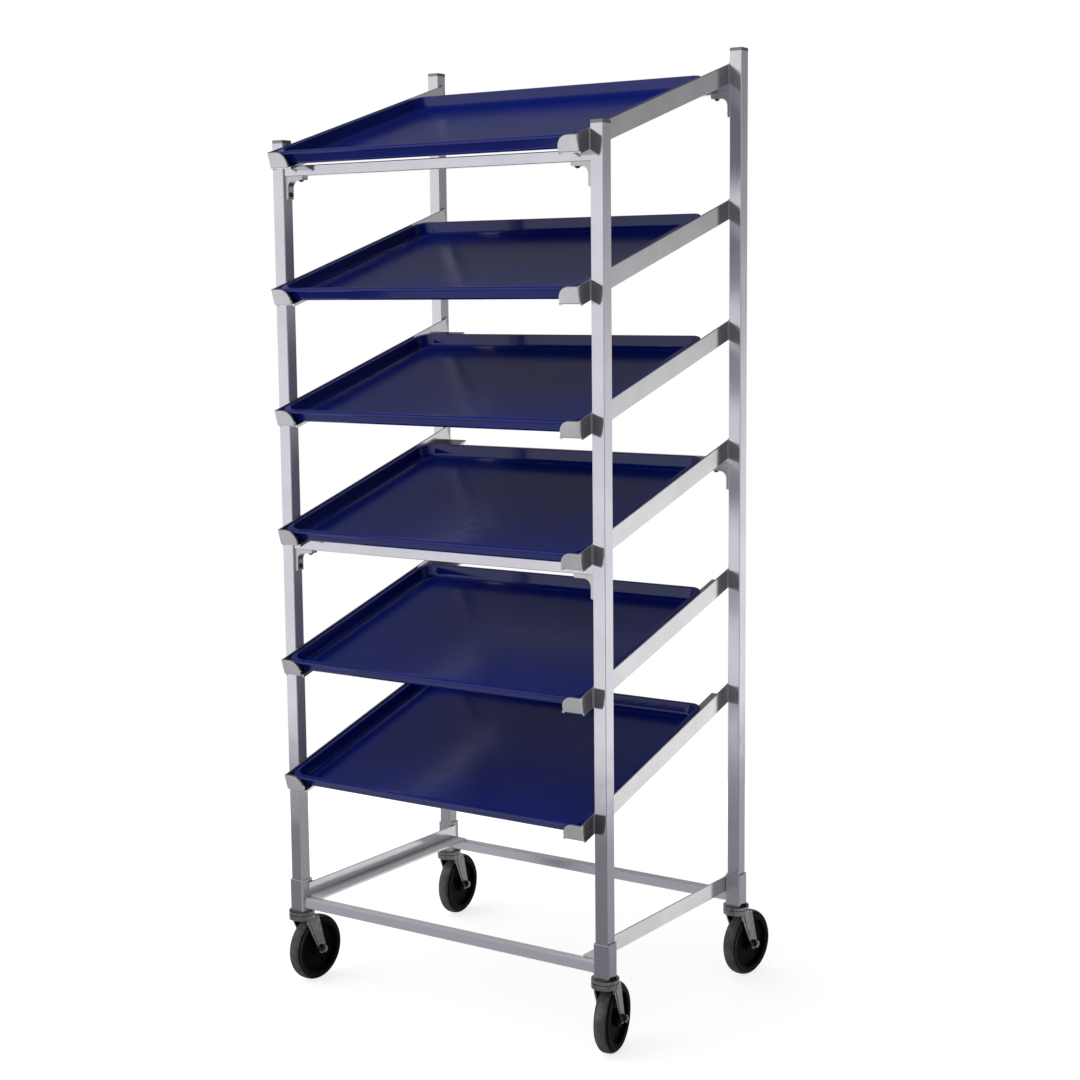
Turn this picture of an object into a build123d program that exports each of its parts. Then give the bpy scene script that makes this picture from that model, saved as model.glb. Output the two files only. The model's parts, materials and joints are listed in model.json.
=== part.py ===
from build123d import *
import math
import os

# A slanted pan display rack on casters: four square posts carry six pairs of sloping angle rails,
# a pan slides on each pair, and stops at the low front ends hold the pans.
# Millimetres. X runs across the rack, +Y to the back, +Z up. The origin is on the floor, in the
# middle between the four posts. The pans slope down to the front, which is -Y.

# Pans: the full-size display pan, 26 by 18 inches over its rim
pan_width = 660.4
pan_length = 457.2
pan_depth = 27.0
pan_wall = 2.5
pan_corner = 26.0
pan_rim_width = 9.0
pan_rim_height = 6.0
pan_rim_round = 2.5
pan_draft = 7.0
pan_heel_round = 8.0
pan_floor_round = 12.0
pan_side_clearance = 2.9
pan_seat_gap = 0.3

# Posts and their plugs
post_size = 25.4
post_wall = 2.0
post_corner = 2.0
frame_depth = 504.0
front_post_head = 7.0
back_post_head = 15.5
cap_thick = 6.0
cap_overhang = 0.2
cap_round = 1.5
plug_depth = 18.0
plug_fit = 0.15

# Pan rails: an aluminium angle with a raised ledge and a lip turned down at its inner edge
level_count = 6
slope_deg = 16.7
lowest_rail_z = 481.9
rail_pitch = 222.9
rail_leg_height = 34.0
rail_thick = 3.0
rail_ledge_width = 45.0
rail_ledge_rise = 5.5
rail_edge_round = 0.8
rail_front_overhang = 32.5
rail_back_setback = 7.0
stop_width = 41.0
stop_ledge_cover = 1.0
stop_thick = 4.0
stop_round = 22.0
stop_edge = 1.4

# Cross bars under the levels that carry them, counted from the lowest level
bar_levels = (3, 6)
bar_size = 19.05
bar_wall = 1.6
bar_corner = 1.6
bar_room = 24.5
bar_weld_gap = 0.2

# Corner braces and their screws
brace_leg = 42.0
brace_thick = 7.0
brace_fillet = 14.0
brace_width = 16.0
brace_end_round = 3.0
screw_place = 33.0
screw_diameter = 5.0
screw_fit = 0.1
screw_head_diameter = 9.5
screw_head_height = 3.6
screw_head_round = 2.1
screw_tip = 4.0

# Base: sockets around the feet of the posts, two cross tubes, two level rails
sleeve_height = 62.0
sleeve_wall = 3.2
sleeve_fit = 0.1
base_tube_rise = 7.0
base_rail_leg_height = 30.0
base_rail_ledge_width = 31.0
base_rail_setback = 14.0

# Casters: 5 inch swivel casters with a stem in the post
wheel_diameter = 127.0
wheel_width = 28.6
tread_thick = 12.0
tread_shoulder = 11.0
bond_gap = 0.05
core_rim_thick = 5.0
core_web_thick = 14.0
hub_diameter = 32.0
hub_end_gap = 0.5
fork_side_gap = 2.3
leg_thick = 3.0
leg_end_radius = 10.0
leg_top_front = 5.0
leg_top_back = 26.0
leg_top_height = 14.0
leg_rib_inset = 5.0
leg_rib_height = 1.0
caster_trail = 34.5
crown_gap = 4.0
crown_thick = 3.0
race_diameter = 50.0
race_height = 5.9
race_gap = 1.2
race_cap_height = 6.9
race_edge_round = 1.5
ball_diameter = 6.0
ball_ring_diameter = 38.0
ball_count = 12
ball_play = 0.3
kingpin_diameter = 12.0
kingpin_play = 0.3
kingpin_head_diameter = 20.0
kingpin_head_height = 5.0
stem_length = 58.0
stem_fit = 0.15
stem_chamfer = 3.0
axle_diameter = 8.0
axle_fit = 0.1
axle_tip = 2.0
bushing_diameter = 12.0
bushing_run = 0.1
hex_across_flats = 13.0
hex_head_height = 5.3
hex_nut_height = 6.5
# Swivel of each caster at rest, turned about +Z from trailing straight to the back
caster_swivel = {"front_left": -3.0, "front_right": 12.0, "back_left": 5.5, "back_right": -7.0}

# What follows from the driving sizes
STANDING = (Align.CENTER, Align.CENTER, Align.MIN)
SIDES = {"left": -1, "right": 1}
ENDS = {"front": -1, "back": 1}
slope = math.radians(slope_deg)
rail_outer_x = pan_width / 2 + pan_side_clearance + rail_thick
post_inner_x = rail_outer_x
frame_width = 2 * (post_inner_x + post_size)
post_x = post_inner_x + post_size / 2
post_y = frame_depth / 2 - post_size / 2
wheel_radius = wheel_diameter / 2
crown_low = wheel_diameter + crown_gap
crown_top = crown_low + crown_thick
race_middle = crown_top + race_height + race_gap / 2
caster_height = race_middle + race_gap / 2 + race_cap_height
fork_inner = wheel_width / 2 + fork_side_gap
fork_outer = fork_inner + leg_thick
base_inner_x = post_inner_x - sleeve_wall - sleeve_fit
base_tube_low = caster_height + base_tube_rise
base_rail_low = base_tube_low + bar_size
rail_front = -(frame_depth / 2 + rail_front_overhang) / math.cos(slope)
rail_back = (frame_depth / 2 - rail_back_setback) / math.cos(slope)
rail_start = rail_front + stop_thick


def level_z(level):
    """Height of a level's rail underside at the middle of the rack, levels counted from 1."""
    bars_passed = sum(1 for bar_level in bar_levels if bar_level <= level)
    return lowest_rail_z + (level - 1) * rail_pitch + bars_passed * bar_room


def rail_underside(level, y):
    return level_z(level) + y * math.tan(slope)


def slope_frame(level):
    """Places a shape drawn level, with +Y along the rails, on one sloping level."""
    return Pos(0, 0, level_z(level)) * Rot(X=slope_deg)


def post_top(end):
    top_edge = rail_underside(level_count, ENDS[end] * frame_depth / 2) + rail_leg_height / math.cos(slope)
    head = front_post_head if end == "front" else back_post_head
    return top_edge + head


def square_tube(length, size, wall, corner):
    outline = RectangleRounded(size, size, corner)
    bore = Rectangle(size - 2 * wall, size - 2 * wall)
    return extrude(outline - bore, length)


def bar_center_y(end):
    return ENDS[end] * post_y


def bar_low_z(level, end):
    """Underside of a cross bar whose top front edge lies against the rails."""
    front_face = bar_center_y(end) - bar_size / 2
    return rail_underside(level, front_face) - bar_weld_gap - bar_size


def facing_front(x, y, z):
    """A drawing plane seen from the front, its first axis along X and its second along Z."""
    return Plane((x, y, z), x_dir=(1, 0, 0), z_dir=(0, -1, 0))


def facing_side(x):
    """A drawing plane seen from the right, its first axis along Y and its second along Z."""
    return Plane((x, 0, 0), x_dir=(0, 1, 0), z_dir=(1, 0, 0))


def upright_cylinder(diameter, bottom, top):
    return Pos(0, 0, bottom) * Cylinder(diameter / 2, top - bottom, align=STANDING)


def along_x(diameter, start, end):
    """A cylinder along X about the X axis."""
    body = Cylinder(diameter / 2, end - start, align=STANDING)
    return Pos(start, 0, 0) * Rot(Y=90) * body


def brace_screw_holes(side, end):
    """The post-side screw holes of one post, one for each bar level."""
    holes = []
    for level in bar_levels:
        z = bar_low_z(level, end) - screw_place
        reach = post_wall + screw_fit
        start = side * post_inner_x - reach
        hole = along_x(screw_diameter + 2 * screw_fit, 0, 2 * reach)
        holes.append(Pos(start, bar_center_y(end), z) * hole)
    return holes


def post(side, end):
    body = square_tube(post_top(end) - caster_height, post_size, post_wall, post_corner)
    body = Pos(side * post_x, ENDS[end] * post_y, caster_height) * body
    for hole in brace_screw_holes(side, end):
        body = body - hole
    return body


def post_cap():
    """A plug with a thin flange, its flange resting on z = 0."""
    flange_size = post_size + 2 * cap_overhang
    flange = extrude(RectangleRounded(flange_size, flange_size, post_corner), cap_thick)
    flange = fillet(flange.edges().group_by(Axis.Z)[-1], cap_round)
    plug_size = post_size - 2 * post_wall - 2 * plug_fit
    plug = Pos(0, 0, -plug_depth) * Box(plug_size, plug_size, plug_depth, align=STANDING)
    return flange + plug


def foot_sleeve():
    outer = post_size + 2 * sleeve_fit + 2 * sleeve_wall
    inner = post_size + 2 * sleeve_fit
    outline = RectangleRounded(outer, outer, post_corner + sleeve_fit + sleeve_wall)
    bore = RectangleRounded(inner, inner, post_corner + sleeve_fit)
    return extrude(outline - bore, sleeve_height)


def angle_rail(side, out, leg_height, ledge_width, start, end):
    """A ledge rail along Y whose upright leg has its outer face at out; its underside is z = 0."""
    leg = out - rail_thick
    inner = out - ledge_width
    under = rail_ledge_rise - rail_thick
    outline = [
        (out, 0),
        (out, leg_height),
        (leg, leg_height),
        (leg, rail_ledge_rise),
        (inner, rail_ledge_rise),
        (inner, 0),
        (inner + rail_thick, 0),
        (inner + rail_thick, under),
        (leg, under),
        (leg, 0),
    ]
    points = [(side * x, z) for x, z in outline]
    profile = make_face(Polyline(*points, close=True))
    profile = fillet(profile.vertices(), rail_edge_round)
    return extrude(facing_front(0, start, 0) * profile, end - start, dir=(0, 1, 0))


def pan_stop(side):
    """The plate across a rail's low end, with its upper inner corner rounded off."""
    height = rail_leg_height - rail_ledge_rise + stop_ledge_cover
    plate = Rectangle(stop_width, height)
    inner_top = plate.vertices().sort_by(Axis.Y)[-2:].sort_by(Axis.X)[0 if side > 0 else -1]
    plate = fillet(inner_top, stop_round)
    middle_x = side * (rail_outer_x - stop_width / 2)
    plate = facing_front(middle_x, rail_front, rail_leg_height - height / 2) * plate
    solid = extrude(plate, stop_thick, dir=(0, 1, 0))
    front_edges = solid.edges().group_by(Axis.Y)[0]
    return fillet(front_edges, stop_edge)


def cross_bar(level, end):
    length = 2 * post_inner_x
    bar = Rot(Y=90) * square_tube(length, bar_size, bar_wall, bar_corner)
    middle_z = bar_low_z(level, end) + bar_size / 2
    bar = Pos(-length / 2, bar_center_y(end), middle_z) * bar
    for side in SIDES.values():
        x = side * (post_inner_x - screw_place)
        hole = upright_cylinder(screw_diameter + 2 * screw_fit, -bar_wall, 2 * bar_wall)
        bar = bar - Pos(x, bar_center_y(end), bar_low_z(level, end)) * hole
    return bar


def corner_brace(side, level, end):
    """An L-shaped bracket in the corner under a bar, with a round inside corner."""
    outline = [
        (0, 0),
        (brace_leg, 0),
        (brace_leg, -brace_thick),
        (brace_thick, -brace_thick),
        (brace_thick, -brace_leg),
        (0, -brace_leg),
    ]
    points = [(-side * a, b) for a, b in outline]
    face = make_face(Polyline(*points, close=True))
    inside = face.vertices().sort_by_distance((-side * brace_thick, -brace_thick))[0]
    face = fillet(inside, brace_fillet)
    tips = []
    for tip in ((brace_leg, -brace_thick), (brace_thick, -brace_leg)):
        tips.append(face.vertices().sort_by_distance((-side * tip[0], tip[1]))[0])
    face = fillet(tips, brace_end_round)
    low = bar_low_z(level, end)
    face = facing_front(side * post_inner_x, bar_center_y(end) - brace_width / 2, low) * face
    brace = extrude(face, brace_width, dir=(0, 1, 0))
    hole_size = screw_diameter + 2 * screw_fit
    bar_hole = upright_cylinder(hole_size, -2 * brace_thick, brace_thick)
    post_hole = along_x(hole_size, -2 * brace_thick, 2 * brace_thick)
    brace = brace - Pos(side * (post_inner_x - screw_place), bar_center_y(end), low) * bar_hole
    brace = brace - Pos(side * post_inner_x, bar_center_y(end), low - screw_place) * post_hole
    return brace


def brace_screw():
    """A button-head screw pointing along +Z, the underside of its head at z = 0."""
    head = Pos(0, 0, -screw_head_height) * Cylinder(screw_head_diameter / 2, screw_head_height, align=STANDING)
    head = fillet(head.edges().group_by(Axis.Z)[0], screw_head_round)
    shank = Cylinder(screw_diameter / 2, brace_thick + bar_wall + screw_tip, align=STANDING)
    return head + shank


def brace_screws(side, level, end):
    low = bar_low_z(level, end)
    y = bar_center_y(end)
    into_bar = Pos(side * (post_inner_x - screw_place), y, low - brace_thick) * brace_screw()
    post_place = Pos(side * (post_inner_x - brace_thick), y, low - screw_place)
    into_post = post_place * Rot(Y=side * 90) * brace_screw()
    return [into_bar, into_post]


def tray_block(bottom_inset, top_inset, bottom, top):
    """A drafted block with rounded corners, used for the outside and the hollow of a pan."""
    sections = []
    for inset, z in ((bottom_inset, bottom), (top_inset, top)):
        outline = RectangleRounded(pan_width - 2 * inset, pan_length - 2 * inset, pan_corner)
        sections.append(Pos(0, 0, z) * outline)
    return loft(sections, ruled=True)


def pan_shape():
    """A shallow tray with drafted walls and a thick rolled rim, its floor underside on z = 0."""
    rim_inset = pan_rim_width - pan_wall
    floor_inset = rim_inset + pan_draft
    body = tray_block(floor_inset, rim_inset, 0, pan_depth)
    body = fillet(body.edges().group_by(Axis.Z)[0], pan_heel_round)
    rim = extrude(RectangleRounded(pan_width, pan_length, pan_corner), pan_rim_height)
    rim = fillet(rim.edges().group_by(Axis.Z)[-1], pan_rim_round)
    rim = fillet(rim.edges().group_by(Axis.Z)[0], pan_rim_round)
    body = body + Pos(0, 0, pan_depth - pan_rim_height) * rim
    hollow = tray_block(floor_inset + pan_wall, pan_rim_width, pan_wall, pan_depth)
    hollow = fillet(hollow.edges().group_by(Axis.Z)[0], pan_floor_round)
    return body - hollow


def pan(level, shape):
    """The pan of one level at rest, its rim just short of the stops."""
    middle = rail_start + pan_seat_gap + pan_length / 2
    return slope_frame(level) * Pos(0, middle, rail_ledge_rise + pan_seat_gap) * shape


def ball_groove():
    return Pos(0, 0, race_middle) * Torus(ball_ring_diameter / 2, ball_diameter / 2 + ball_play)


def caster_stem():
    """Upper ball race with the stem above it and the riveted kingpin below, on the swivel axis."""
    race = upright_cylinder(race_diameter, race_middle + race_gap / 2, caster_height)
    race = fillet(race.edges().group_by(Axis.Z)[-1], race_edge_round)
    stem_diameter = post_size - 2 * post_wall - 2 * stem_fit
    stem = upright_cylinder(stem_diameter, caster_height, caster_height + stem_length)
    stem = chamfer(stem.edges().group_by(Axis.Z)[-1], stem_chamfer)
    head_top = crown_low - kingpin_play
    kingpin = upright_cylinder(kingpin_diameter, head_top, caster_height)
    head = upright_cylinder(kingpin_head_diameter, head_top - kingpin_head_height, head_top)
    head = fillet(head.edges().group_by(Axis.Z)[0], race_edge_round)
    return race - ball_groove() + stem + kingpin + head


def swivel_balls():
    balls = []
    for index in range(ball_count):
        turn = Rot(Z=index * 360 / ball_count)
        balls.append(turn * Pos(ball_ring_diameter / 2, 0, race_middle) * Sphere(ball_diameter / 2))
    return balls


def leg_outline(inset):
    """Side view of a fork leg: a broad top under the crown, narrowing to the axle."""
    width = leg_top_front + leg_top_back - 2 * inset
    middle = (leg_top_back - leg_top_front) / 2
    top = Pos(middle, crown_top - leg_top_height / 2) * Rectangle(width, leg_top_height - 2 * inset)
    tip = Pos(caster_trail, wheel_radius) * Circle(leg_end_radius - inset / 2)
    return make_hull(top.edges() + tip.edges())


def caster_fork():
    """Crown, lower ball race and two legs, trailing to +Y from the swivel axis."""
    crown_length = leg_top_front + leg_top_back
    crown = Pos(0, (leg_top_back - leg_top_front) / 2, crown_low) * Box(
        2 * fork_outer, crown_length, crown_thick, align=STANDING
    )
    crown = crown + upright_cylinder(race_diameter, crown_low, crown_top)
    race = upright_cylinder(race_diameter, crown_top, race_middle - race_gap / 2)
    body = crown + race - ball_groove()
    for side in SIDES.values():
        leg = facing_side(side * fork_inner) * leg_outline(0)
        rib = facing_side(side * fork_outer) * leg_outline(leg_rib_inset)
        body = body + extrude(leg, leg_thick, dir=(side, 0, 0))
        body = body + extrude(rib, leg_rib_height, dir=(side, 0, 0))
    pin_bore = upright_cylinder(kingpin_diameter + 2 * kingpin_play, crown_low, race_middle)
    reach = fork_outer + leg_rib_height
    axle_bore = along_x(axle_diameter + 2 * axle_fit, -reach, reach)
    return body - pin_bore - Pos(0, caster_trail, wheel_radius) * axle_bore


def hexagon(height):
    """A hexagon head or nut along +X from x = 0."""
    flat = RegularPolygon(hex_across_flats / 2, 6, major_radius=False)
    return Rot(Y=90) * extrude(flat, height)


def axle_set():
    """The bolt through both fork legs and its nut, about the X axis."""
    face = fork_outer + leg_rib_height
    bolt = along_x(axle_diameter, -face, face + hex_nut_height + axle_tip)
    bolt = bolt + Pos(-face - hex_head_height, 0, 0) * hexagon(hex_head_height)
    nut = Pos(face, 0, 0) * hexagon(hex_nut_height)
    nut = nut - along_x(axle_diameter + 2 * axle_fit, face, face + hex_nut_height)
    return [bolt, nut]


def axle_bushing():
    sleeve = along_x(bushing_diameter, -fork_inner, fork_inner)
    return sleeve - along_x(axle_diameter + 2 * axle_fit, -fork_inner, fork_inner)


def turned(points):
    """Revolves an outline of (distance along X, radius) points about the X axis."""
    return revolve(make_face(Polyline(*points, close=True)), Axis.X)


def wheel_core():
    """Hub, web and rim in one moulding."""
    bore = bushing_diameter / 2 + bushing_run
    hub = hub_diameter / 2
    rim_outer = wheel_radius - tread_thick - bond_gap
    rim_inner = rim_outer - core_rim_thick
    hub_end = fork_inner - hub_end_gap
    rim_end = wheel_width / 2 - bond_gap
    web = core_web_thick / 2
    half = [(0, bore), (hub_end, bore), (hub_end, hub), (web, hub), (web, rim_inner), (rim_end, rim_inner),
            (rim_end, rim_outer), (0, rim_outer)]
    mirrored = [(-x, r) for x, r in reversed(half)]
    return turned(half + mirrored[1:-1])


def wheel_tyre():
    outline = Pos(0, wheel_radius - tread_thick / 2) * Rectangle(wheel_width, tread_thick)
    shoulders = outline.vertices().group_by(Axis.Y)[-1]
    return revolve(fillet(shoulders, tread_shoulder), Axis.X)


def save(name, solids):
    shape = solids[0] if len(solids) == 1 else Compound(children=solids)
    export_step(shape, f"parts/{name}.step")
    print(name, len(solids), "solids, volume", round(sum(solid.volume for solid in solids)))


corners = [(end, side) for end in ENDS for side in SIDES]

for end, side in corners:
    save(f"post_{end}_{side}", [post(SIDES[side], end)])

caps = []
sleeves = []
for end, side in corners:
    place = Pos(SIDES[side] * post_x, ENDS[end] * post_y, 0)
    caps.append(place * Pos(0, 0, post_top(end)) * post_cap())
    sleeves.append(place * Pos(0, 0, caster_height) * foot_sleeve())
save("post_caps", caps)
save("foot_sleeves", sleeves)

stops = []
pan_blank = pan_shape()
for level in range(1, level_count + 1):
    for name, side in SIDES.items():
        rail = angle_rail(side, rail_outer_x, rail_leg_height, rail_ledge_width, rail_start, rail_back)
        save(f"rail_{level}_{name}", [slope_frame(level) * rail])
        stops.append(slope_frame(level) * pan_stop(side))
    save(f"pan_{level}", [pan(level, pan_blank)])
save("pan_stops", stops)

braces = []
screws = []
for level in bar_levels:
    for end in ENDS:
        save(f"cross_bar_{level}_{end}", [cross_bar(level, end)])
        for side in SIDES.values():
            braces.append(corner_brace(side, level, end))
            screws.extend(brace_screws(side, level, end))
save("corner_braces", braces)
save("brace_screws", screws)

for end in ENDS:
    tube = Rot(Y=90) * square_tube(2 * base_inner_x, bar_size, bar_wall, bar_corner)
    save(f"base_tube_{end}", [Pos(-base_inner_x, bar_center_y(end), base_tube_low + bar_size / 2) * tube])

rail_end = frame_depth / 2 - base_rail_setback
for name, side in SIDES.items():
    rail = angle_rail(side, base_inner_x, base_rail_leg_height, base_rail_ledge_width, -rail_end, rail_end)
    save(f"base_rail_{name}", [Pos(0, 0, base_rail_low) * rail])

balls = []
for end, side in corners:
    name = f"{end}_{side}"
    place = Pos(SIDES[side] * post_x, ENDS[end] * post_y, 0) * Rot(Z=caster_swivel[name])
    hub = place * Pos(0, caster_trail, wheel_radius)
    balls.extend(place * ball for ball in swivel_balls())
    save(f"caster_{name}_stem", [place * caster_stem()])
    save(f"caster_{name}_fork", [place * caster_fork()])
    save(f"caster_{name}_axle", [hub * piece for piece in axle_set()])
    save(f"caster_{name}_bushing", [hub * axle_bushing()])
    save(f"caster_{name}_wheel", [hub * wheel_core()])
    save(f"caster_{name}_tyre", [hub * wheel_tyre()])
save("swivel_balls", balls)

height = post_top("back") + cap_thick
print("width", round(frame_width, 1), "depth of posts", frame_depth, "height", round(height, 1))
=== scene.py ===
# %% [markdown]
# # A slanted pan display rack
# The rack is a welded aluminium frame on four swivel casters. Six shallow blue pans lie on sloping rails and slide
# down to stops at the front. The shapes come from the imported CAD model, which is loaded first and never moved.
# This lesson adds what the solids lack: a camera, studio light, finishes, weld beads and other small workshop detail.

# %% Load the rack
import json
import math
from functools import partial

import bmesh
import bpy
from mathutils import Matrix, Vector


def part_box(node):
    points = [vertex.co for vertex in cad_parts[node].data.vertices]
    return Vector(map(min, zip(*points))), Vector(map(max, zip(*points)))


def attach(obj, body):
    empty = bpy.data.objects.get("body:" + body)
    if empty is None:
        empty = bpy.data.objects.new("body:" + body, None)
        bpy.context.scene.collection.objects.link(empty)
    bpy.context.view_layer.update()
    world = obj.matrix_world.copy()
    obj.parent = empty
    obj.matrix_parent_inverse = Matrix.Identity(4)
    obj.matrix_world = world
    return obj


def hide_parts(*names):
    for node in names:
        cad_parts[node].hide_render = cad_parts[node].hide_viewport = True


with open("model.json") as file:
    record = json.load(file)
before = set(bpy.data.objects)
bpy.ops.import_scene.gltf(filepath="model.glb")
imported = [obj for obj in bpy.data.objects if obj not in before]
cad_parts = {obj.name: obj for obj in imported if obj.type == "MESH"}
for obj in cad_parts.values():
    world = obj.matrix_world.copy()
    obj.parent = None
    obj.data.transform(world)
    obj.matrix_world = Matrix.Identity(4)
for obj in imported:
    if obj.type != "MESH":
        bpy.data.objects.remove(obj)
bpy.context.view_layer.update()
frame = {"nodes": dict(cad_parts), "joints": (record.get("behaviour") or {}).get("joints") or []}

nodes = frame["nodes"]

# %% [markdown]
# ## The camera
# The photograph was taken from the front right, a little above the middle of the rack, with a long lens. A camera can
# be aimed with a constraint, but here its heading, tilt and roll are known from the straight edges of the posts and
# bars, so three turns about its own axes say it most plainly.

# %% Place the camera
photo_pixels = 1080
focal_pixels = 1939.2
sensor_mm = 36.0
camera_place = Vector((2.0917, -2.9975, 1.3484))
heading, tilt_down, roll = math.radians(34.16), math.radians(7.487), math.radians(-0.565)

lens = bpy.data.cameras.new("photo_lens")
lens.sensor_width = sensor_mm
lens.lens = focal_pixels / photo_pixels * sensor_mm
camera = bpy.data.objects.new("photo_camera", lens)
turn = Matrix.Rotation(heading, 4, "Z")
tilt = Matrix.Rotation(math.pi / 2 - tilt_down, 4, "X")
camera.matrix_world = Matrix.Translation(camera_place) @ turn @ tilt @ Matrix.Rotation(roll, 4, "Z")
bpy.context.scene.collection.objects.link(camera)
bpy.context.scene.camera = camera
bpy.context.scene.view_settings.view_transform = "Standard"
print("lens", round(lens.lens, 2), "mm")

# %% [markdown]
# ## The studio
# Bright metal has almost no colour of its own: it shows the room. In the photograph the faces that look to the left
# are nearly white, and the faces that look to the right are light low down and grey high up. So the room has a bright
# wall front left and a wall behind that is lit from below. A picture of a room could do this too, but soft steps over
# the direction of a ray are easier to shift. Three small helpers build such sums of nodes.

# %% Helpers for shader sums
def soft_step(tree, value, start, end, low=0.0, high=1.0):
    """A smooth change from low to high while value goes from start to end."""
    step = tree.nodes.new("ShaderNodeMapRange")
    step.interpolation_type = "SMOOTHSTEP"
    for name, number in (("From Min", start), ("From Max", end), ("To Min", low), ("To Max", high)):
        step.inputs[name].default_value = number
    tree.links.new(value, step.inputs["Value"])
    return step.outputs["Result"]


def combine(tree, operation, first, second):
    """One Math node; an input may be a socket or a number."""
    math_node = tree.nodes.new("ShaderNodeMath")
    math_node.operation = operation
    for socket, item in zip(math_node.inputs, (first, second)):
        if isinstance(item, (int, float)):
            socket.default_value = item
        else:
            tree.links.new(item, socket)
    return math_node.outputs[0]


def towards(tree, vector, aim):
    """How far a vector reaches towards an aim; for a direction, from -1 to 1."""
    dot = tree.nodes.new("ShaderNodeVectorMath")
    dot.operation = "DOT_PRODUCT"
    tree.links.new(vector, dot.inputs[0])
    dot.inputs[1].default_value = Vector(aim).normalized()
    return dot.outputs["Value"]


# %% The bright walls
studio = bpy.data.worlds.new("studio")
studio.use_nodes = True
bpy.context.scene.world = studio
room = studio.node_tree
room_step, room_sum = partial(soft_step, room), partial(combine, room)
direction = room.nodes.new("ShaderNodeTexCoord").outputs["Generated"]
height = towards(room, direction, (0.0, 0.0, 1.0))

to_front_left = towards(room, direction, (-0.6, -0.8, 0.0))
dark_foot = room_step(height, -0.62, -0.44, 0.22, 0.9)
dim_top = room_step(height, 0.5, 0.15, 0.2, 1.0)
left_glow = room_sum("MULTIPLY", dark_foot, dim_top)
left_wall = room_sum("MULTIPLY", room_step(to_front_left, 0.5, 0.85), left_glow)

to_back = towards(room, direction, (0.0, 1.0, 0.0))
lit_from_below = room_step(height, 0.10, -0.15, 0.33, 1.0)
dark_top = room_step(height, 0.25, 0.1, 0.12, 1.0)
back_glow = room_sum("MULTIPLY", lit_from_below, dark_top)
back_wall = room_sum("MULTIPLY", room_step(to_back, -0.35, 0.1), back_glow)
print("bright walls from", len(room.nodes), "nodes")

# %% [markdown]
# A grey fill wall hangs front right, so that no face of the rack goes black when the view goes round it. In a square
# inside corner, two faces send the view straight back to where it came from. In the photograph those corners are almost
# black, because nothing bright stands by the camera. So the fill has a gap there for rays that were mirrored twice.
# A dim ceiling and a soft high window give the pans' floors their grey veil.

# %% Fill wall, ceiling and window
once_mirrored_below = 2.5
paths = room.nodes.new("ShaderNodeLightPath").outputs
to_camera = towards(room, direction, (0.56, -0.83, 0.0))
# The world counts a ray's depth from 1, so a first reflection comes here as 2 and a second as 3.
once_mirrored = room_sum("LESS_THAN", paths["Ray Depth"], once_mirrored_below)
outside_gap = room_sum("MAXIMUM", room_step(to_camera, 0.97, 0.85), once_mirrored)
fill_glow = room_sum("MULTIPLY", room_step(to_camera, 0.3, 0.6), room_step(height, 0.4, 0.1, 0.0, 0.42))
fill_wall = room_sum("MULTIPLY", outside_gap, fill_glow)

ceiling = room_step(height, 0.7, 0.95, 0.03, 0.10)
to_window = towards(room, direction, (-0.55, 0.60, 0.57))
high_window = room_step(to_window, 0.78, 0.98, 0.0, 0.135)
walls = left_wall
for part in (back_wall, fill_wall, ceiling, high_window):
    walls = room_sum("MAXIMUM", walls, part)
print("whole room from", len(room.nodes), "nodes")

# %% [markdown]
# Paint and plastic don't mirror the room, they gather light from all of it. For them the world is a plain soft dome,
# a little brighter towards the front left and the top, at a level where a colour comes out about as it is written.
# The background is plain white for every ray that comes straight from the camera or through something clear.

# %% The dome for paint and plastic, and the white background
dome_level, dome_lean = 0.46, 0.72
lean = room_sum("MULTIPLY", towards(room, direction, (-0.7, -0.6, 0.2)), dome_lean)
dome = room_sum("ADD", lean, dome_level)
mirrored = room_sum("MULTIPLY", walls, paths["Is Glossy Ray"])
seen = room_sum("MAXIMUM", paths["Is Camera Ray"], paths["Is Transmission Ray"])
not_gathered = room_sum("MAXIMUM", seen, paths["Is Glossy Ray"])
gathered = room_sum("MULTIPLY", dome, room_sum("SUBTRACT", 1.0, not_gathered))
brightness = room_sum("MAXIMUM", room_sum("MAXIMUM", mirrored, gathered), seen)
background = room.nodes["Background"]
background.inputs["Color"].default_value = (1.0, 1.0, 1.0, 1.0)
room.links.new(brightness, background.inputs["Strength"])
print("dome level", dome_level, "lean", dome_lean)

# %% [markdown]
# ## Floor and lamps
# A white floor keeps a faint shadow under the casters. Part of its light is its own, for rays that are seen, and the
# rest comes from the dome and the lamps, so it goes a little grey where the rack keeps the light away. Towards its rim
# it grows as white as the background. The metal low on the frame mirrors the floor, and in the photograph it is dark
# in front and light behind, so the mirrored floor changes from one to the other.

# %% Floor disc
floor_radius = 1.6
floor_shape = bmesh.new()
bmesh.ops.create_circle(floor_shape, cap_ends=True, segments=128, radius=floor_radius)
floor_mesh = bpy.data.meshes.new("floor")
floor_shape.to_mesh(floor_mesh)
floor_shape.free()
floor = bpy.data.objects.new("floor", floor_mesh)
bpy.context.scene.collection.objects.link(floor)
print("floor radius", floor_radius, "m")

# %% Floor white
floor_glow, floor_paint = 0.78, 0.50
mirrored_front, mirrored_back, half_depth = 0.2, 0.7, 0.4
fade_start = 0.35 * floor_radius

floor_white = bpy.data.materials.new("floor_white")
floor_white.use_nodes = True
tree = floor_white.node_tree
floor_step, floor_sum = partial(soft_step, tree), partial(combine, tree)
tree.nodes.remove(tree.nodes["Principled BSDF"])
paint = tree.nodes.new("ShaderNodeBsdfDiffuse")
paint.inputs["Color"].default_value = (floor_paint, floor_paint, floor_paint, 1.0)

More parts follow.
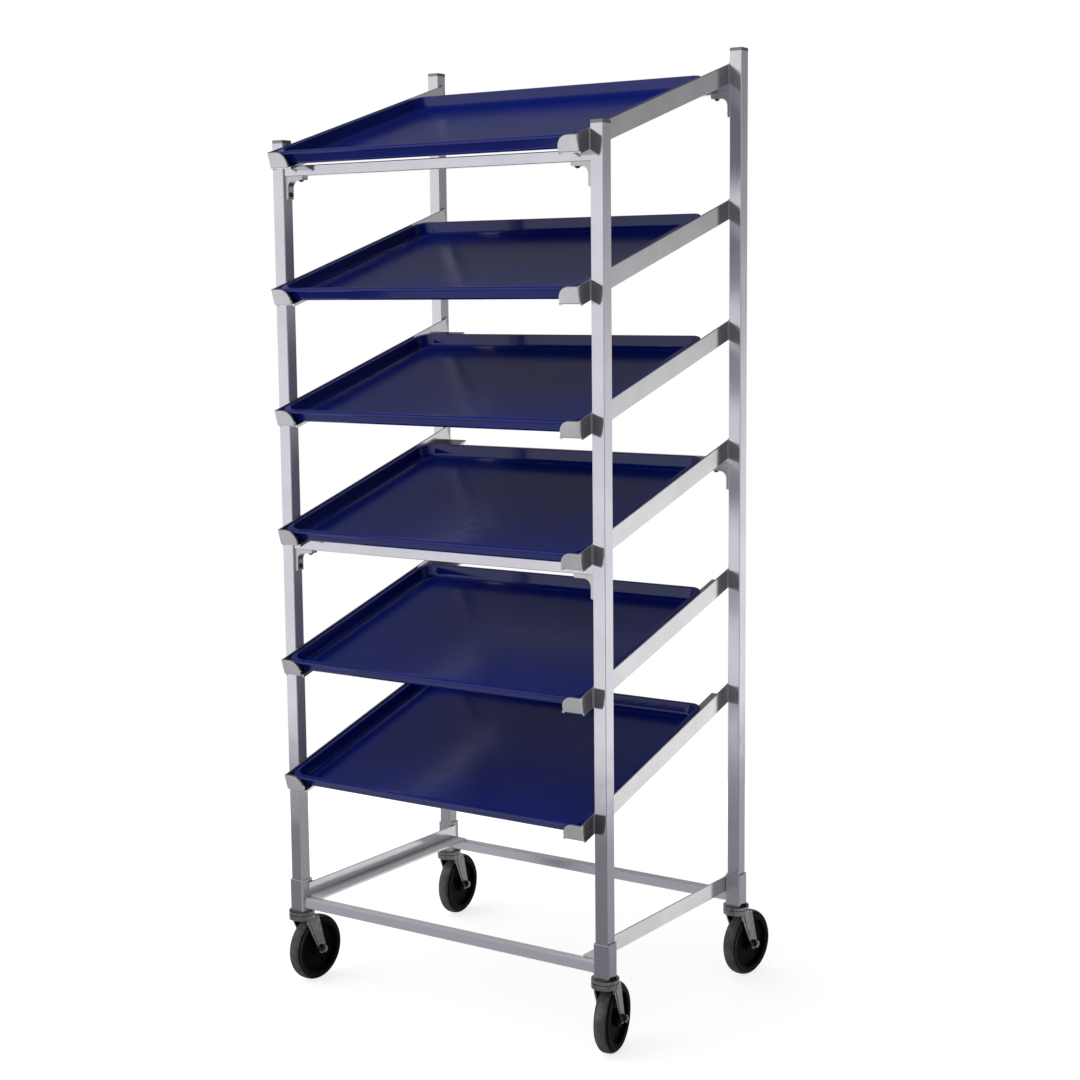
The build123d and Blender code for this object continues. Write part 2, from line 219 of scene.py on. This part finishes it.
floor_paths = tree.nodes.new("ShaderNodeLightPath").outputs
place = tree.nodes.new("ShaderNodeTexCoord").outputs["Object"]
backwards = towards(tree, place, (0.0, 1.0, 0.0))
floor_in_metal = floor_step(backwards, -half_depth, half_depth, mirrored_front, mirrored_back)
floor_mirrored = floor_sum("MULTIPLY", floor_paths["Is Glossy Ray"], floor_in_metal)
floor_seen = floor_sum("MAXIMUM", floor_paths["Is Camera Ray"], floor_mirrored)
floor_seen = floor_sum("MAXIMUM", floor_seen, floor_paths["Is Transmission Ray"])

from_middle = tree.nodes.new("ShaderNodeVectorMath")
from_middle.operation = "LENGTH"
tree.links.new(place, from_middle.inputs[0])
rim_glow = floor_step(from_middle.outputs["Value"], fade_start, floor_radius, floor_glow, 1.0)
glow = tree.nodes.new("ShaderNodeEmission")
tree.links.new(floor_sum("MULTIPLY", floor_seen, rim_glow), glow.inputs["Strength"])
both = tree.nodes.new("ShaderNodeAddShader")
tree.links.new(paint.outputs[0], both.inputs[0])
tree.links.new(glow.outputs[0], both.inputs[1])
tree.links.new(both.outputs[0], tree.nodes["Material Output"].inputs["Surface"])
floor_mesh.materials.append(floor_white)
print("floor glow", floor_glow, "paint", floor_paint)

# %% [markdown]
# Two softboxes add the soft shadow that a dome alone can't give. The metal doesn't show them, because a bright square
# on every post would hide the walls that it should mirror.

# %% Two soft lamps
def soft_lamp(name, place, target, side, watts):
    """A square softbox that faces a target point."""
    lamp = bpy.data.lights.new(name, "AREA")
    lamp.shape, lamp.size, lamp.energy = "SQUARE", side, watts
    box = bpy.data.objects.new(name, lamp)
    aim = (Vector(target) - Vector(place)).to_track_quat("-Z", "Y").to_matrix().to_4x4()
    box.matrix_world = Matrix.Translation(place) @ aim
    box.visible_glossy = False
    bpy.context.scene.collection.objects.link(box)


rack_middle = (0.0, 0.0, 0.9)
soft_lamp("key_softbox", (-2.2, -2.9, 4.6), rack_middle, side=3.0, watts=28)
soft_lamp("top_softbox", (0.3, -0.4, 4.4), rack_middle, side=2.6, watts=6)
print("lamps", [lamp.name for lamp in bpy.data.lights])

# %% [markdown]
# ## A start for every finish
# Each finish is a node tree around one Principled shader. Numbers that are the same all over sit on the shader's own
# sockets. What varies, such as drawing lines, smudges and scuffs, comes from noise in the object's own coordinates,
# which are metres here, so a scale of 400 means marks about 2.5 mm apart.

# %% Helpers for finishes
class Finish:
    """A material in the making: one shader, and the object's coordinates to draw its marks with."""

    def __init__(self, name, metallic=0.0):
        self.material = bpy.data.materials.new(name)
        self.material.use_nodes = True
        self.tree = self.material.node_tree
        self.shader = self.tree.nodes["Principled BSDF"]
        self.shader.inputs["Metallic"].default_value = metallic
        coordinates = self.tree.nodes.new("ShaderNodeTexCoord").outputs
        self.place, self.facing = coordinates["Object"], coordinates["Normal"]
        self.step, self.sum = partial(soft_step, self.tree), partial(combine, self.tree)
        self.towards = partial(towards, self.tree)

    def stretched(self, scale, turn=(0.0, 0.0, 0.0)):
        """The coordinates, turned and then scaled, so that noise can run in lines."""
        turned = self.tree.nodes.new("ShaderNodeVectorRotate")
        turned.rotation_type = "EULER_XYZ"
        turned.inputs["Rotation"].default_value = turn
        self.tree.links.new(self.place, turned.inputs["Vector"])
        scaled = self.tree.nodes.new("ShaderNodeVectorMath")
        scaled.operation = "MULTIPLY"
        scaled.inputs[1].default_value = scale
        self.tree.links.new(turned.outputs[0], scaled.inputs[0])
        return scaled.outputs[0]

    def noise(self, scale, detail=3.0, rough=0.55, place=None):
        """Cloudy noise; a larger scale makes smaller marks."""
        grain = self.tree.nodes.new("ShaderNodeTexNoise")
        grain.inputs["Scale"].default_value = scale
        grain.inputs["Detail"].default_value = detail
        grain.inputs["Roughness"].default_value = rough
        self.tree.links.new(place or self.place, grain.inputs["Vector"])
        return grain.outputs["Fac"]

    def blend(self, factor, first, second):
        """Goes from the first colour to the second; a colour may be three numbers or a socket."""
        mix = self.tree.nodes.new("ShaderNodeMix")
        mix.data_type = "RGBA"
        for name, colour in (("A", first), ("B", second)):
            if isinstance(colour, tuple):
                mix.inputs[name].default_value = (*colour, 1.0)
            else:
                self.tree.links.new(colour, mix.inputs[name])
        self.tree.links.new(factor, mix.inputs["Factor"])
        return mix.outputs["Result"]

    def color(self, factor, first, second):
        """Blends the base colour."""
        self.tree.links.new(self.blend(factor, first, second), self.shader.inputs["Base Color"])

    def roughness(self, value):
        """Lets a sum of nodes decide how dull the surface is."""
        self.tree.links.new(value, self.shader.inputs["Roughness"])

    def bump(self, height, distance, strength=1.0):
        """Raises the surface by a distance in metres where the height is 1."""
        node = self.tree.nodes.new("ShaderNodeBump")
        node.inputs["Distance"].default_value = distance
        node.inputs["Strength"].default_value = strength
        self.tree.links.new(height, node.inputs["Height"])
        self.tree.links.new(node.outputs["Normal"], self.shader.inputs["Normal"])


# %% Dress a CAD node
def dress(finish, names):
    """Puts one finish on the CAD nodes of these names."""
    for name in names:
        mesh = nodes[name].data
        mesh.materials.clear()
        mesh.materials.append(finish.material)
    print(finish.material.name, "on", len(names), "nodes")


# %% [markdown]
# ## Painted shade, painted light and dust
# Low down the metal is painted darker, a painted shade for the darker floor that it mirrors there. Dust lies on level
# faces, and the faces that look into the rack are painted paler and duller than the outer ones, a painted light that
# lifts their dark reflections. These could be painted by hand, but masks from the height and the facing of a surface
# put them in the right places on every piece at once.

# %% Masks for dirt
uneven_edge = 0.12
dull_cover_roughness, dull_cover_metallic = 0.4, 0.1


def low_down(finish, top, bottom):
    """Goes from 0 at a height of top to 1 at bottom, with an uneven edge."""
    wander = finish.sum("MULTIPLY", finish.noise(30.0, 4.0, 0.6), uneven_edge)
    level = finish.sum("ADD", finish.towards(finish.place, (0.0, 0.0, 1.0)), wander)
    return finish.step(level, top + uneven_edge / 2, bottom + uneven_edge / 2)


def upward(finish):
    """Is 1 on faces that look up."""
    return finish.step(finish.towards(finish.facing, (0.0, 0.0, 1.0)), 0.5, 0.9)


def facing_in(finish, axis, most):
    """Grows to most on the faces that look towards the middle of the rack along one axis."""
    side, outward = (finish.towards(vector, axis) for vector in (finish.place, finish.facing))
    return finish.step(finish.sum("MULTIPLY", side, outward), -0.1, -0.2, 0.0, most)


def cover_pale_and_dull(finish, where, clean, gloss, metallic, dull):
    """Covers metal with a pale, dull layer where the mask is 1: dust, and painted light on a tube's inner faces."""
    finish.color(where, clean, dull)
    finish.roughness(finish.sum("ADD", gloss, finish.sum("MULTIPLY", where, dull_cover_roughness)))
    shine = finish.step(where, 0.0, 1.0, metallic, dull_cover_metallic)
    finish.tree.links.new(shine, finish.shader.inputs["Metallic"])


# %% [markdown]
# ## Bright drawn tube
# Posts, bars and base tubes are square aluminium tube. Drawing it through a die leaves fine lines along its length,
# which spread reflections a little sideways, and handling leaves faint dull patches. Noise that is stretched along the
# tube gives the lines. Posts stand and bars lie across, so the same recipe is made once for each direction.

# %% Bright tube
across_rack, along_rack = (1.0, 0.0, 0.0), (0.0, 1.0, 0.0)


def bright_tube(name, stretch, painted_shade_low):
    """Drawn tube with lines along the axis that stretch makes small; its last colour is painted shade low down."""
    tube = Finish(name)
    lines = tube.noise(700.0, 2.0, 0.6, tube.stretched(stretch))
    patches = tube.noise(9.0, 4.0, 0.6)
    clean = tube.blend(tube.step(patches, 0.3, 0.7), (0.66, 0.65, 0.72), (0.73, 0.72, 0.785))
    # Low down the colour goes to a darker one: painted shade for the darker floor mirrored there.
    low = low_down(tube, 0.58, 0.36)
    line_gloss = tube.step(lines, 0.3, 0.7, 0.07, 0.12)
    patch_gloss = tube.step(patches, 0.55, 0.75, 0.0, 0.05)
    gloss = tube.sum("ADD", line_gloss, patch_gloss)
    # The faces that look into the rack get a pale, dull cover: painted light that lifts their dark reflections. Real
    # dust on level faces low down is added to the same mask.
    painted_light_inside = tube.sum("MAXIMUM", facing_in(tube, across_rack, 0.6), facing_in(tube, along_rack, 0.22))
    dulled = tube.sum("MAXIMUM", painted_light_inside, tube.sum("MULTIPLY", low, upward(tube)))
    cover_pale_and_dull(tube, dulled, tube.blend(low, clean, painted_shade_low), gloss, 0.90, (0.86, 0.86, 0.88))
    tube.bump(lines, 0.00003)
    return tube


# The last colour of each tube is its painted shade low down.
upright_tube = bright_tube("bright_tube_upright", (1.0, 1.0, 0.01), (0.31, 0.307, 0.355))
across_tube = bright_tube("bright_tube_across", (0.01, 1.0, 1.0), (0.63, 0.625, 0.705))
posts = [n for n in nodes if n.startswith("post_") and n != "post_caps"]
dress(upright_tube, posts + ["foot_sleeves"])
dress(across_tube, [n for n in nodes if n.startswith(("cross_bar", "base_tube"))])

# %% [markdown]
# ## Extruded rails
# The rails are extruded angle, left as it came from the press, so they are duller than the tube and their lines are
# broader. The lines follow the slope of the rails, which is read from the sliding joint of the pans. The level rails
# of the base are the same metal with dust on their ledges, and the stop plates are a little darker.

# %% Mill-finish angle
slide_axis = Vector(next(j["axis"] for j in frame["joints"] if j["name"] == "slide_pan_1"))
slope = math.atan2(slide_axis.z, slide_axis.y)


def mill_angle(name, tilt, metallic, dark, light, dulled=0.0):
    """Extruded metal with lines at a tilt, and a share of dust on the faces that look up."""
    angle = Finish(name)
    lines = angle.noise(420.0, 3.0, 0.6, angle.stretched((1.0, 0.008, 1.0), (-tilt, 0.0, 0.0)))
    patches = angle.noise(14.0, 4.0, 0.6)
    clean = angle.blend(angle.step(patches, 0.3, 0.7), dark, light)
    gloss = angle.step(lines, 0.25, 0.75, 0.10, 0.18)
    dusted = angle.sum("MULTIPLY", upward(angle), dulled)
    cover_pale_and_dull(angle, dusted, clean, gloss, metallic, (0.90, 0.90, 0.91))
    angle.bump(lines, 0.00005)
    return angle


sloping_angle = mill_angle("mill_angle_sloping", slope, 0.92, (0.69, 0.685, 0.71), (0.76, 0.755, 0.78))
level_angle = mill_angle("mill_angle_level", 0.0, 0.92, (0.74, 0.74, 0.75), (0.80, 0.80, 0.81), dulled=1.0)
stop_plate = mill_angle("mill_plate", slope, 0.85, (0.58, 0.575, 0.61), (0.66, 0.655, 0.69))
dress(sloping_angle, [n for n in nodes if n.startswith("rail_")])
dress(level_angle, ["base_rail_left", "base_rail_right"])
dress(stop_plate, ["pan_stops"])
print("slope", round(math.degrees(slope), 2), "degrees")

# %% [markdown]
# ## Blue pans
# The pans are moulded in glossy blue plastic. The colour goes right through, the skin has the faint waviness of a
# moulding, and the floors carry fine scuffs from years of goods. A plain gloss would be as sharp everywhere, so the
# roughness grows on the floor, found by its slope, and a little on the underside. The rest is left to the reflections:
# dark floors show the room as a grey veil, and the rolled rim catches a bright line.

# %% Glossy blue
blue = Finish("pan_blue_gloss")
clouds = blue.noise(5.0, 3.0)
blue.color(blue.step(clouds, 0.3, 0.7), (0.0025, 0.010, 0.150), (0.0035, 0.013, 0.195))
off_floor = blue.towards(blue.facing, (0.0, -math.sin(slope), math.cos(slope)))
pan_floor = blue.step(off_floor, 0.90, 0.99)
underside = blue.step(off_floor, -0.90, -0.99, 0.0, 0.08)
scuffs = blue.noise(70.0, 4.0, 0.7, blue.stretched((1.0, 0.25, 0.25), (0.0, 0.0, 0.6)))
worn = blue.sum("MULTIPLY", pan_floor, blue.step(scuffs, 0.35, 0.75, 0.10, 0.16))
moulded_skin = blue.sum("ADD", underside, blue.step(clouds, 0.3, 0.7, 0.07, 0.10))
blue.roughness(blue.sum("ADD", worn, moulded_skin))
blue.bump(blue.noise(55.0, 2.0), 0.0003, 0.25)
blue.shader.inputs["IOR"].default_value = 1.5
dress(blue, [n for n in nodes if n.startswith("pan_") and n != "pan_stops"])

# %% [markdown]
# ## Braces, screws and caps
# The corner braces are cast, so they are grainy all over. The screws are blackened steel with a film of oil, and the
# caps in the posts are grey moulded plastic with fine pores. One fine noise for each drives its colour, gloss and bump
# together, which keeps light and dark grains in the same places.

# %% Cast metal, dark steel and grey plastic
cast = Finish("cast_brace", metallic=1.0)
sand = cast.noise(900.0, 3.0)
cast.color(sand, (0.55, 0.55, 0.57), (0.72, 0.72, 0.73))
cast.roughness(cast.step(sand, 0.3, 0.7, 0.32, 0.48))
cast.bump(sand, 0.00015)
dress(cast, ["corner_braces"])

dark_screw = Finish("dark_screw", metallic=1.0)
oil = dark_screw.noise(300.0)
dark_screw.color(oil, (0.06, 0.06, 0.06), (0.12, 0.12, 0.12))
dark_screw.roughness(dark_screw.step(oil, 0.3, 0.7, 0.3, 0.45))
dress(dark_screw, ["brace_screws"])

plug = Finish("cap_plastic")
pores = plug.noise(1200.0)
plug.color(plug.noise(60.0), (0.22, 0.22, 0.22), (0.29, 0.29, 0.29))
plug.roughness(plug.step(pores, 0.3, 0.7, 0.42, 0.55))
plug.bump(pores, 0.00005)
dress(plug, ["post_caps"])

# %% [markdown]
# ## Casters
# Stem, fork and axle are zinc-plated steel, which goes dull and dark in patches. The balls in the swivel are polished.
# The wheels are black plastic cores with rubber tyres. Rolling leaves grey dust on the tread and not on the side walls,
# so the tyre's colour depends on whether a face looks along the axle, which lies across the rack at rest.

# %% Plated and polished steel
zinc = Finish("zinc_plate", metallic=1.0)
spangle = zinc.noise(120.0, 4.0, 0.65)
zinc.color(zinc.step(spangle, 0.35, 0.7), (0.17, 0.168, 0.168), (0.27, 0.267, 0.267))
zinc.roughness(zinc.step(spangle, 0.3, 0.7, 0.13, 0.23))
zinc.bump(zinc.noise(600.0), 0.00004)
plated = ("stem", "fork", "axle", "bushing")
dress(zinc, [n for n in nodes if n.startswith("caster_") and n.endswith(plated)])

ball_steel = Finish("bearing_steel", metallic=1.0)
film = ball_steel.noise(500.0)
ball_steel.color(film, (0.66, 0.66, 0.67), (0.74, 0.74, 0.75))
ball_steel.roughness(ball_steel.step(film, 0.3, 0.7, 0.08, 0.16))
dress(ball_steel, ["swivel_balls"])

# %% Wheel cores and tyres
black_core = Finish("wheel_black")
core_grain = black_core.noise(900.0)
black_core.color(black_core.noise(70.0), (0.003, 0.003, 0.0033), (0.006, 0.006, 0.0064))
black_core.roughness(black_core.step(core_grain, 0.3, 0.7, 0.45, 0.6))
black_core.bump(core_grain, 0.00006)
black_core.shader.inputs["Specular IOR Level"].default_value = 0.04
dress(black_core, [n for n in nodes if n.endswith("_wheel")])

tread = Finish("tread_rubber")
floor_dust = tread.noise(35.0, 5.0, 0.65)
along_axle = tread.sum("ABSOLUTE", tread.towards(tread.facing, across_rack), 0.0)
side_wall = tread.step(along_axle, 0.55, 0.85)
rolled = tread.blend(tread.step(floor_dust, 0.35, 0.75), (0.075, 0.075, 0.076), (0.175, 0.174, 0.170))
tread.color(side_wall, rolled, (0.005, 0.005, 0.0055))
tread.shader.inputs["Specular IOR Level"].default_value = 0.08
tread.roughness(tread.step(floor_dust, 0.3, 0.7, 0.5, 0.68))
tread.bump(tread.noise(700.0), 0.00010)
dress(tread, [n for n in nodes if n.endswith("_tyre")])

# %% [markdown]
# ## Weld beads
# Where the rails cross the posts, and where the base is joined to its sockets, the real rack is welded. A bead of weld
# is a rounded ridge with a ripple for every drop of filler. A curve with a bevel would be smooth, so each bead is swept
# here ring by ring along its line, swelling and sinking at the pitch of the ripples and closing in a round tip at both
# ends. About half of it is sunk in the metal.

# %% Rings of points and their skin
def square_to(axis):
    """Two directions that are square to an axis and to each other."""
    side = axis.orthogonal().normalized()
    return side, axis.cross(side)


def ring(middle, side, over, radii):
    """Points round a middle, evenly turned, one for each radius."""
    turns = [2 * math.pi * k / len(radii) for k in range(len(radii))]
    return [middle + radius * (side * math.cos(t) + over * math.sin(t)) for radius, t in zip(radii, turns)]


def add_rings(shape, rings):
    """Joins rings of points into one closed skin."""
    loops = [[shape.verts.new(point) for point in points] for points in rings]
    for first, second in zip(loops, loops[1:]):
        for a in range(len(first)):
            b = (a + 1) % len(first)
            shape.faces.new((first[a], first[b], second[b], second[a]))
    shape.faces.new(reversed(loops[0]))
    shape.faces.new(loops[-1])


# %% A bead of weld
bead_radius, bead_sides = 0.0020, 10
ripple_pitch, ripple_depth, steps_per_ripple = 0.0017, 0.14, 4
blunt_tip = 0.12


def add_bead(shape, start, end):
    """One rippled bead from start to end."""
    length = (end - start).length
    along = (end - start).normalized()
    side, over = square_to(along)
    rings = []
    steps = steps_per_ripple * round(length / ripple_pitch)
    for step in range(steps + 1):
        travel = length * step / steps
        from_tip = min(travel, length - travel, bead_radius) / bead_radius
        swell = 1 - ripple_depth + ripple_depth * abs(math.sin(math.pi * travel / ripple_pitch))
        thick = bead_radius * swell * max(blunt_tip, math.sqrt(from_tip * (2 - from_tip)))
        rings.append(ring(start + along * travel, side, over, [thick] * bead_sides))
    add_rings(shape, rings)


# %% A piece that rides on a body
crease_angle = math.radians(35)


def make_piece(name, shape, finish, body):
    """Turns a bmesh into a smooth-shaded piece that rides on a body."""
    bmesh.ops.recalc_face_normals(shape, faces=shape.faces)
    mesh = bpy.data.meshes.new(name)
    shape.to_mesh(mesh)
    shape.free()
    for face in mesh.polygons:
        face.use_smooth = True
    mesh.set_sharp_from_angle(angle=crease_angle)
    mesh.materials.append(finish.material)
    piece = bpy.data.objects.new(name, mesh)
    bpy.context.scene.collection.objects.link(piece)
    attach(piece, body)
    print(name, len(mesh.polygons), "faces on", body)
    return piece


# %% Weld metal
weld = Finish("weld_metal", metallic=1.0)
slag = weld.noise(500.0, 3.0)
weld.color(weld.step(slag, 0.35, 0.7), (0.42, 0.42, 0.43), (0.66, 0.66, 0.67))
weld.roughness(weld.step(slag, 0.3, 0.7, 0.24, 0.40))
weld.bump(slag, 0.00006)
print("weld metal from", len(weld.tree.nodes), "nodes")

# %% [markdown]
# The beads along the rails lie on the rail's outer face, where its upper and lower edges meet the posts. The CAD gives
# only the box round a sloping rail, so the height of its leg is worked out from that box and the slope. Under the third
# and the sixth rails a cross bar is in the way of the lower bead.

# %% Beads between the rails and the posts
levels, bar_levels = range(1, 7), (3, 6)
bead_sunk, tip_room = 0.0006, 0.0012
slope_cos, slope_sin = math.cos(slope), math.sin(slope)


def rail_leg(low, high):
    """The height of a sloping rail's leg and of its underside in the middle of the rack, from its box."""
    across, tall = high.y - low.y, high.z - low.z
    leg = (tall * slope_cos - across * slope_sin) / (slope_cos * slope_cos - slope_sin * slope_sin)
    return leg, low.z - (low.y + leg * slope_sin) * math.tan(slope)


def on_rail(x, y, underside, rise):
    """A point of a rail, so far above its underside."""
    along = (y + rise * slope_sin) / slope_cos
    return Vector((x, y, underside + along * slope_sin + rise * slope_cos))


beads = bmesh.new()
for side_name in ("left", "right"):
    for level in levels:
        low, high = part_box(f"rail_{level}_{side_name}")
        leg, underside = rail_leg(low, high)
        x = high.x - bead_sunk if side_name == "right" else low.x + bead_sunk
        for end in ("front", "back"):
            post_low, post_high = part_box(f"post_{end}_{side_name}")
            first, last = post_low.y + tip_room, min(post_high.y, high.y) - tip_room
            for rise in (leg,) if level in bar_levels else (leg, 0.0):
                add_bead(beads, on_rail(x, first, underside, rise), on_rail(x, last, underside, rise))
make_piece("rail_welds", beads, weld, "frame")

# %% [markdown]
# The base tubes are welded to the sockets at their ends, down both sides and underneath, and the base rails along the
# top of the sockets.

# %% Beads around the base
beads = bmesh.new()
for end in ("front", "back"):
    low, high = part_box(f"base_tube_{end}")
    for x in (low.x + bead_sunk, high.x - bead_sunk):
        for y in (low.y, high.y):
            add_bead(beads, Vector((x, y, low.z)), Vector((x, y, high.z - tip_room)))
        add_bead(beads, Vector((x, low.y, low.z)), Vector((x, high.y, low.z)))

sleeve_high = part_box("foot_sleeves")[1]
post_low, post_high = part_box("post_back_right")
sleeve_front = post_low.y - (sleeve_high.y - post_high.y)
for side_name in ("left", "right"):
    low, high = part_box(f"base_rail_{side_name}")
    x = high.x - bead_sunk if side_name == "right" else low.x + bead_sunk
    for end in (-1, 1):
        y_start, y_stop = end * (sleeve_front + tip_room), end * (high.y - tip_room)
        add_bead(beads, Vector((x, y_start, high.z)), Vector((x, y_stop, high.z)))
make_piece("base_welds", beads, weld, "frame")

# %% [markdown]
# ## Button-head screws
# The braces are held by low domed screws that are driven with a hexagon key. The CAD screws have plain heads, so each
# is made again with its socket. A lathe can't cut a hexagon, but a ring of points can follow one: the radius just
# depends on the angle. Where every screw sits is read from the CAD mesh, island by island.

# %% Find the screws
weld_distance = 1e-6


def islands(mesh):
    """The lowest and highest corner of each separate solid in a mesh, always in the same order."""
    shape = bmesh.new()
    shape.from_mesh(mesh)
    bmesh.ops.remove_doubles(shape, verts=shape.verts, dist=weld_distance)
    waiting, boxes = set(shape.verts), []
    while waiting:
        edge_of_island, points = [waiting.pop()], []
        while edge_of_island:
            vert = edge_of_island.pop()
            points.append(vert.co.copy())
            for edge in vert.link_edges:
                other = edge.other_vert(vert)
                if other in waiting:
                    waiting.remove(other)
                    edge_of_island.append(other)
        boxes.append((Vector(map(min, *points)), Vector(map(max, *points))))
    shape.free()
    return sorted(boxes, key=lambda box: tuple(box[0]))


screw_boxes = islands(nodes["brace_screws"].data)
print("screws", len(screw_boxes))

# %% One screw
screw_sides = 48
key_width, socket_depth, socket_lip = 0.0032, 0.0019, 0.0003
head_height, dome_share, shank_share = 0.0036, 0.8, 0.52
closed_middle, closed_end = 0.02, 0.0002
dome_angles = [math.radians(a) for a in (24, 38, 52, 66, 80, 90)]


def hexagon(angle, across_flats):
    """Radius of a hexagon in one direction."""
    third = math.pi / 3
    return across_flats / 2 / math.cos(angle % third - third / 2)


def add_screw(shape, top, into, head_radius, length):
    """A button-head screw whose head is highest at top and which points along into."""
    side, over = square_to(into)
    key = [hexagon(2 * math.pi * k / screw_sides, key_width) for k in range(screw_sides)]
    rings = []
    for share, wider, depth in ((closed_middle, 0.0, socket_depth), (1.0, 0.0, socket_depth),
                                (1.0, 0.0, socket_lip), (1.0, socket_lip, 0.0)):
        rings.append(ring(top + into * depth, side, over, [radius * share + wider for radius in key]))
    shank = head_radius * shank_share
    outline = [(head_radius * math.sin(a), head_height * dome_share * (1 - math.cos(a))) for a in dome_angles]
    outline += [(head_radius, head_height), (shank, head_height), (shank, length), (closed_end, length)]
    for radius, depth in outline:
        rings.append(ring(top + into * depth, side, over, [radius] * screw_sides))
    add_rings(shape, rings)


# %% All the screws
screws = bmesh.new()
for low, high in screw_boxes:
    size, middle = high - low, (low + high) / 2
    if size.z > size.x:
        into, length, head_radius = Vector((0, 0, 1)), size.z, size.x / 2
    else:
        into, length, head_radius = Vector((math.copysign(1, middle.x), 0, 0)), size.x, size.z / 2
    add_screw(screws, middle - into * length / 2, into, head_radius, length)
button_screws = make_piece("button_screws", screws, dark_screw, "frame")
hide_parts("brace_screws")

# %% [markdown]
# ## Rings on the tyres and washers on the axles
# A moulded tyre shows the mould: a fine raised line round the middle of the tread, where the two halves met, and rings
# on its side walls. Under the axle's bolt head and nut lies a washer. Blender's Screw modifier could turn these, but
# they need the axle of the wheel's own joint, so one small lathe in code makes them all.

# %% A small lathe
ridge_profile = ((-0.5, -1.0), (-0.5, 0.3), (-0.25, 1.0), (0.25, 1.0), (0.5, 0.3), (0.5, -1.0))


def add_turned(shape, middle, axis, outline, segments):
    """Spins a closed outline of (place along the axis, radius) points into a ring."""
    side, over = square_to(axis)
    loops = []
    for k in range(segments):
        turn = 2 * math.pi * k / segments
        spoke = side * math.cos(turn) + over * math.sin(turn)
        loops.append([shape.verts.new(middle + axis * along + spoke * radius) for along, radius in outline])
    for k in range(segments):
        here, there = loops[k], loops[(k + 1) % segments]
        for a in range(len(outline)):
            b = (a + 1) % len(outline)
            shape.faces.new((here[a], here[b], there[b], there[a]))


def ridge(along, radius, width, height, outward):
    """A low rounded ridge on a surface: outward is (1, 0) along the axis or (0, 1) away from it."""
    points = []
    for share, rise in ridge_profile:
        across, up = share * width, rise * height
        points.append((along + up * outward[0] + across * outward[1],
                       radius + up * outward[1] + across * abs(outward[0])))
    return points


# %% Rings for one tyre
tyre_segments = 96
mould_line_width, mould_line_height = 0.0012, 0.0002
wall_ring_width, wall_ring_height, wall_ring_places = 0.0010, 0.0004, (0.84, 0.88)


def tyre_rings(corner, middle, axis):
    """The mould line and four side-wall rings of one tyre."""
    tyre = [vert.co - middle for vert in nodes[f"caster_{corner}_tyre"].data.vertices]
    half_width = max(abs(point.dot(axis)) for point in tyre)
    tread_radius = max((point - axis * point.dot(axis)).length for point in tyre)
    rings = bmesh.new()
    mould_line = ridge(0.0, tread_radius, mould_line_width, mould_line_height, (0, 1))
    add_turned(rings, middle, axis, mould_line, tyre_segments)
    for face in (-1, 1):
        for share in wall_ring_places:
            wall_ring = ridge(face * half_width, tread_radius * share, wall_ring_width, wall_ring_height, (face, 0))
            add_turned(rings, middle, axis, wall_ring, tyre_segments)
    make_piece(f"tyre_rings_{corner}", rings, tread, f"wheel_{corner}")


# %% Washers for one axle
washer_segments = 64
washer_bore, washer_edge, washer_radius = 0.0042, 0.0079, 0.0083
washer_sunk, washer_proud, washer_bevel = 0.0002, 0.0013, 0.0003
near_axle = 0.012


def axle_washers(corner, middle, axis):
    """A washer on the outer face of both fork legs, which is found from the fork's points near the axle."""
    fork = [vert.co - middle for vert in nodes[f"caster_{corner}_fork"].data.vertices]
    leg_face = max(abs(point.dot(axis)) for point in fork if point.z < near_axle)
    washers = bmesh.new()
    for face in (-1, 1):
        inner, outer = face * (leg_face - washer_sunk), face * (leg_face + washer_proud)
        outline = [(inner, washer_bore), (outer, washer_bore), (outer, washer_edge),
                   (outer - face * washer_bevel, washer_radius), (inner, washer_radius)]
        add_turned(washers, middle, axis, outline, washer_segments)
    make_piece(f"axle_washers_{corner}", washers, zinc, f"caster_{corner}")


# %% Rings and washers on all four casters
for joint in frame["joints"]:
    if joint["name"].startswith("spin_"):
        corner = joint["name"].removeprefix("spin_")
        middle, axis = Vector(joint["pos_m"]), Vector(joint["axis"]).normalized()
        tyre_rings(corner, middle, axis)
        axle_washers(corner, middle, axis)
